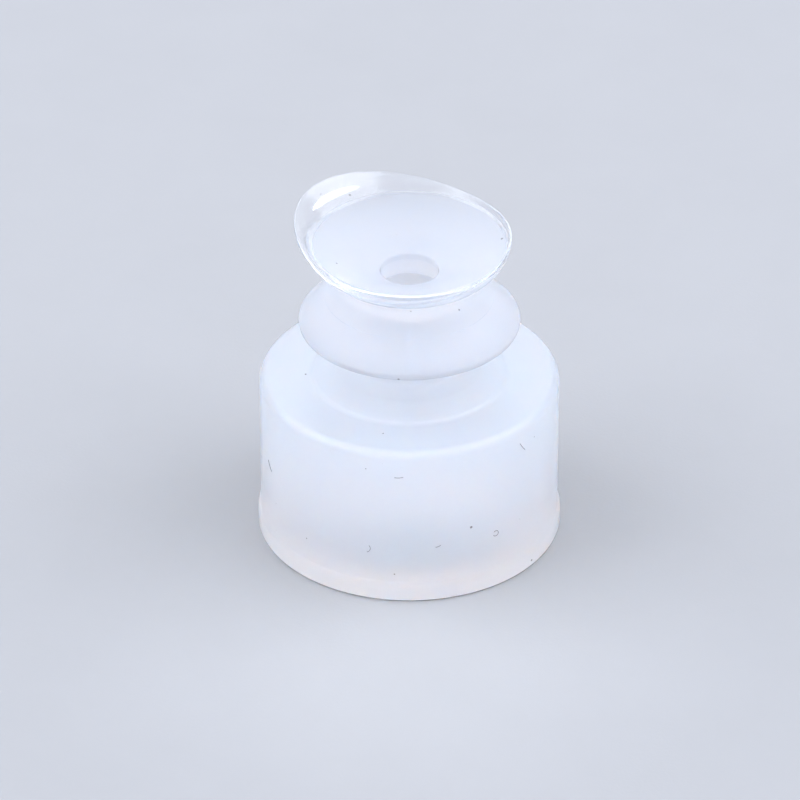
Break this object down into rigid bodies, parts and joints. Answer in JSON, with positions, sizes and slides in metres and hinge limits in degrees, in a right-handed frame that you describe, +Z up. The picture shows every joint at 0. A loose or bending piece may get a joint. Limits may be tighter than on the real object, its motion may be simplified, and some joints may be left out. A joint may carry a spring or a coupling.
{
  "type": "bellows suction cup",
  "caption": "Translucent silicone vacuum cup: a thick round mounting sleeve with a domed bore, a single bellows fold, a pierced throat and a flared thin lip.",
  "frame": {"origin": "centre of the sleeve's foot, on the surface that the cup stands on", "axes": "+Z up along the cup's axis, from the fitting bore towards the lip; the cup is round, so X and Y are free"},
  "size_m": [0.0305, 0.0304, 0.0338],
  "materials": {
    "silicone_thick": "milky translucent silicone, satin",
    "silicone_wall": "milky translucent silicone, satin",
    "silicone_lip": "nearly clear thin silicone, glossy"
  },
  "bodies": {
    "sleeve": {"base_bead": "silicone_thick", "sleeve_wall": "silicone_thick", "shoulder_plate": "silicone_thick", "shoulder_boss": "silicone_thick", "lower_neck": "silicone_thick", "fold_lower_wall": "silicone_wall"},
    "fold": {"fold_rim": "silicone_wall"},
    "bellows_top": {"fold_upper_wall": "silicone_wall"},
    "throat": {"throat_ring": "silicone_wall"},
    "cup": {"cup_web": "silicone_wall", "lip_bowl": "silicone_wall", "thin_lip": "silicone_lip"}
  },
  "joints": [
    {"name": "bellows_stroke", "type": "slide", "parent": "sleeve", "child": "bellows_top", "axis": [0, 0, -1], "range_m": [0, 0.003], "stiffness_N_per_m": 100, "deforming": ["fold_lower_wall", "fold_upper_wall"]},
    {"name": "fold_follow", "type": "slide", "parent": "sleeve", "child": "fold", "axis": [0, 0, -1], "range_m": [0, 0.0015]},
    {"name": "tilt_fore_aft", "type": "hinge", "parent": "bellows_top", "child": "throat", "pos_m": [0, 0, 0.029], "axis": [1, 0, 0], "range_deg": [-8, 8], "stiffness_Nm_per_rad": 0.002},
    {"name": "tilt_sideways", "type": "hinge", "parent": "throat", "child": "cup", "pos_m": [0, 0, 0.029], "axis": [0, 1, 0], "range_deg": [-8, 8], "stiffness_Nm_per_rad": 0.002, "deforming": ["cup_web"]}
  ],
  "couplings": [
    {"joint": "fold_follow", "follows": "bellows_stroke", "ratio": 0.5}
  ]
}
